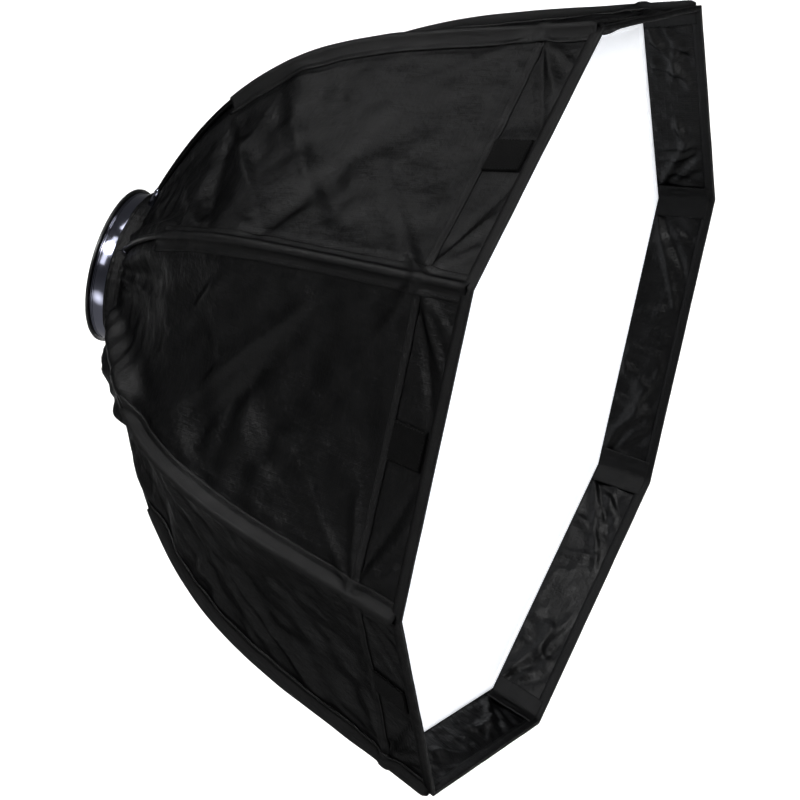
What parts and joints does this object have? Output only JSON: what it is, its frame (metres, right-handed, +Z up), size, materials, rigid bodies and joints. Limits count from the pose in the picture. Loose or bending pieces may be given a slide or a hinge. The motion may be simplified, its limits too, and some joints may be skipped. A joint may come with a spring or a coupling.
{
  "type": "octagonal softbox",
  "caption": "Octagonal studio softbox: bowed rods carry a black cloth shell with a recessed white diffuser, on a clamp-on speedring.",
  "frame": {"origin": "centre of the speedring's rear opening, in the plane of its rear rim", "axes": "+Y along the lamp axis towards the lamp head, so light leaves towards -Y; +Z up, with flats of the octagon at top and bottom"},
  "size_m": [0.5976, 0.3834, 0.5976],
  "materials": {
    "black_ripstop": "coated nylon, satin outside and silver inside",
    "black_tape": "woven nylon tape, dull",
    "hook_tape": "hook-and-loop pile, matte",
    "white_cloth": "translucent white diffusion cloth",
    "spring_steel": "dark coated spring rod",
    "black_metal": "satin black anodised",
    "polished_aluminium": "turned and polished",
    "grip_rubber": "matte",
    "bearing_plastic": "acetal, natural"
  },
  "bodies": {
    "speedring": {"mount_collar": "black_metal", "grip_liner": "grip_rubber", "polished_band": "polished_aluminium", "swivel_bearing": "bearing_plastic", "retaining_ring": "black_metal", "clamp_block": "black_metal", "lever_pin": "polished_aluminium"},
    "lever": {"clamp_lever": "black_metal"},
    "box": {"rod_ring": "black_metal", "neck_hem": "black_tape", "lip_facing": "black_ripstop", "loop_strip": "hook_tape", "edge_binding": "black_tape", "side_panel_1": "black_ripstop", "side_panel_2": "black_ripstop", "side_panel_3": "black_ripstop", "side_panel_4": "black_ripstop", "side_panel_5": "black_ripstop", "side_panel_6": "black_ripstop", "side_panel_7": "black_ripstop", "side_panel_8": "black_ripstop", "grid_patch_1": "hook_tape", "grid_patch_2": "hook_tape", "grid_patch_3": "hook_tape", "grid_patch_4": "hook_tape", "grid_patch_5": "hook_tape", "grid_patch_6": "hook_tape", "grid_patch_7": "hook_tape", "grid_patch_8": "hook_tape", "rod_1": "spring_steel", "rod_2": "spring_steel", "rod_3": "spring_steel", "rod_4": "spring_steel", "rod_5": "spring_steel", "rod_6": "spring_steel", "rod_7": "spring_steel", "rod_8": "spring_steel", "rod_sleeve_1": "black_tape", "rod_sleeve_2": "black_tape", "rod_sleeve_3": "black_tape", "rod_sleeve_4": "black_tape", "rod_sleeve_5": "black_tape", "rod_sleeve_6": "black_tape", "rod_sleeve_7": "black_tape", "rod_sleeve_8": "black_tape", "corner_pocket_1": "black_tape", "corner_pocket_2": "black_tape", "corner_pocket_3": "black_tape", "corner_pocket_4": "black_tape", "corner_pocket_5": "black_tape", "corner_pocket_6": "black_tape", "corner_pocket_7": "black_tape", "corner_pocket_8": "black_tape"},
    "inner_sheet": {"inner_diffuser": "white_cloth"},
    "front_sheet": {"front_diffuser": "white_cloth"}
  },
  "joints": [
    {"name": "box_swivel", "type": "hinge", "parent": "speedring", "child": "box", "pos_m": [0, 0, 0], "axis": [0, 1, 0], "continuous": true},
    {"name": "clamp_lever_hinge", "type": "hinge", "parent": "speedring", "child": "lever", "pos_m": [0.066, -0.0095, 0], "axis": [0, 1, 0], "range_deg": [0, 100]},
    {"name": "inner_diffuser_slide", "type": "slide", "parent": "box", "child": "inner_sheet", "axis": [0, -1, 0], "range_m": [0, 0.3]},
    {"name": "front_diffuser_slide", "type": "slide", "parent": "inner_sheet", "child": "front_sheet", "axis": [0, -1, 0], "range_m": [0, 0.12]}
  ]
}
